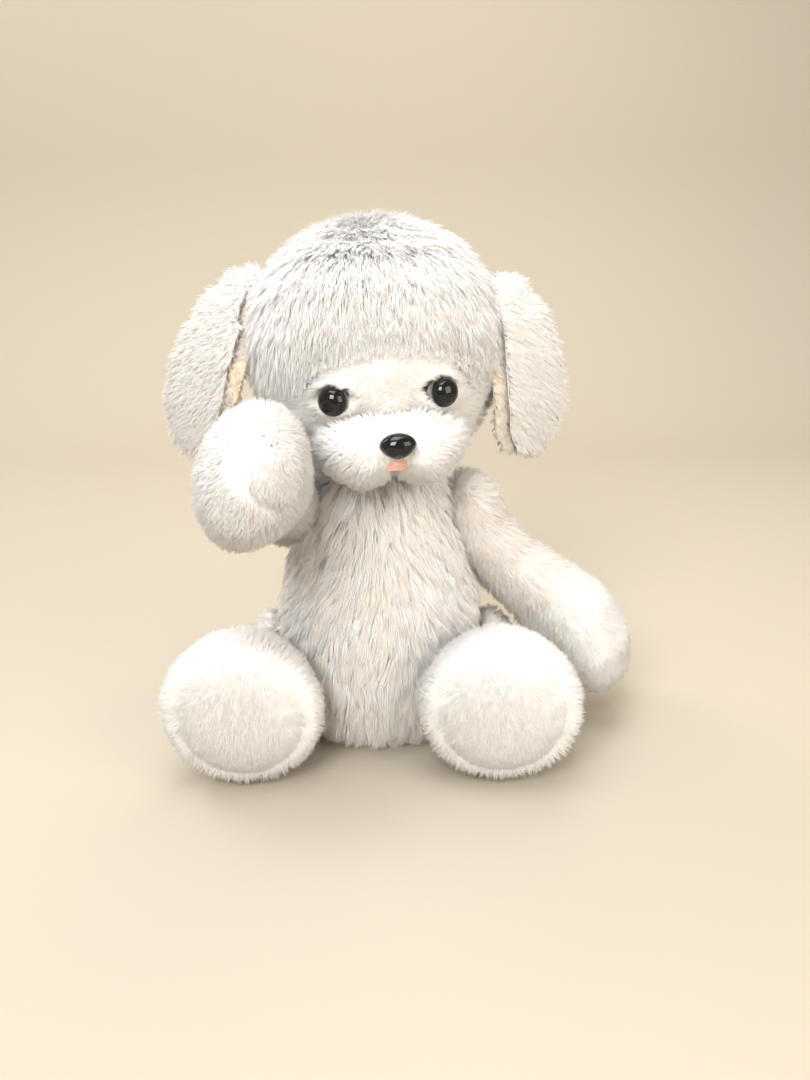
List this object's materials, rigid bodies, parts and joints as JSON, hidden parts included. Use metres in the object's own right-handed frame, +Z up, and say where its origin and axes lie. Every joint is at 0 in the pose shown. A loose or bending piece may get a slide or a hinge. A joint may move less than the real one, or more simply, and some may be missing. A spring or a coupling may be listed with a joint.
{
  "type": "plush dog",
  "caption": "Sitting stuffed dog of white plush with disc-jointed head, arms and legs, floppy hinged ears, round soles and one arm raised in a wave.",
  "frame": {"origin": "middle of the flat seat under the body, on the surface that the dog sits on, below the neck joint's axis", "axes": "+Z up, the dog faces -Y, its own left is +X"},
  "size_m": [0.2634, 0.1992, 0.2789],
  "materials": {
    "plush_long": "long combed pile, white",
    "plush_short": "short dense pile, warm white",
    "plush_lining": "short pile, pale peach",
    "filling": "loose polyester fibre",
    "black_gloss": "polished black",
    "felt": "pink felt",
    "hardboard": "matt pressed fibre board",
    "steel": "zinc plated",
    "washer_plastic": "plain white"
  },
  "bodies": {
    "torso": {"body_cover": "plush_long", "body_stuffing": "filling", "hip_left_bolt": "steel", "hip_left_inner_disc": "hardboard", "hip_left_inner_washer": "steel", "hip_left_nut": "steel", "hip_left_outer_washer": "steel", "hip_right_bolt": "steel", "hip_right_inner_disc": "hardboard", "hip_right_inner_washer": "steel", "hip_right_nut": "steel", "hip_right_outer_washer": "steel", "neck_bolt": "steel", "neck_inner_disc": "hardboard", "neck_inner_washer": "steel", "neck_nut": "steel", "neck_outer_washer": "steel", "shoulder_left_bolt": "steel", "shoulder_left_inner_disc": "hardboard", "shoulder_left_inner_washer": "steel", "shoulder_left_nut": "steel", "shoulder_left_outer_washer": "steel", "shoulder_right_bolt": "steel", "shoulder_right_inner_disc": "hardboard", "shoulder_right_inner_washer": "steel", "shoulder_right_nut": "steel", "shoulder_right_outer_washer": "steel", "tail": "plush_short"},
    "head": {"eye_left": "black_gloss", "eye_right": "black_gloss", "eye_washer_left": "washer_plastic", "eye_washer_right": "washer_plastic", "head_cover": "plush_long", "head_stuffing": "filling", "mouth": "felt", "muzzle": "plush_short", "neck_outer_disc": "hardboard", "nose": "black_gloss", "nose_washer": "washer_plastic"},
    "arm_left": {"arm_left_cover": "plush_short", "arm_left_stuffing": "filling", "palm_pad_left": "plush_short", "shoulder_left_outer_disc": "hardboard"},
    "arm_right": {"arm_right_cover": "plush_short", "arm_right_stuffing": "filling", "palm_pad_right": "plush_short", "shoulder_right_outer_disc": "hardboard"},
    "leg_left": {"hip_left_outer_disc": "hardboard", "leg_left_cover": "plush_short", "leg_left_stuffing": "filling", "sole_pad_left": "plush_short"},
    "leg_right": {"hip_right_outer_disc": "hardboard", "leg_right_cover": "plush_short", "leg_right_stuffing": "filling", "sole_pad_right": "plush_short"},
    "ear_left": {"ear_back_left": "plush_short", "ear_lining_left": "plush_lining"},
    "ear_right": {"ear_back_right": "plush_short", "ear_lining_right": "plush_lining"}
  },
  "joints": [
    {"name": "neck_turn", "type": "hinge", "parent": "torso", "child": "head", "pos_m": [0, 0, 0.161], "axis": [0, 0, 1], "range_deg": [-2, 24]},
    {"name": "shoulder_left_turn", "type": "hinge", "parent": "torso", "child": "arm_left", "pos_m": [0.038, 0, 0.124], "axis": [-0.9511, 0, -0.309], "range_deg": [-95, 12]},
    {"name": "shoulder_right_turn", "type": "hinge", "parent": "torso", "child": "arm_right", "pos_m": [-0.038, 0, 0.124], "axis": [-0.9511, 0, 0.309], "range_deg": [-28, 2]},
    {"name": "hip_left_turn", "type": "hinge", "parent": "torso", "child": "leg_left", "pos_m": [0.05, 0, 0.038], "axis": [1, 0, 0], "range_deg": [-4, 86]},
    {"name": "hip_right_turn", "type": "hinge", "parent": "torso", "child": "leg_right", "pos_m": [-0.05, 0, 0.038], "axis": [1, 0, 0], "range_deg": [-4, 86]},
    {"name": "ear_left_flap", "type": "hinge", "parent": "head", "child": "ear_left", "pos_m": [0.062, 0, 0.252], "axis": [0, -1, 0], "range_deg": [0, 45]},
    {"name": "ear_right_flap", "type": "hinge", "parent": "head", "child": "ear_right", "pos_m": [-0.056, 0.002, 0.256], "axis": [0, 1, 0], "range_deg": [0, 45]}
  ]
}
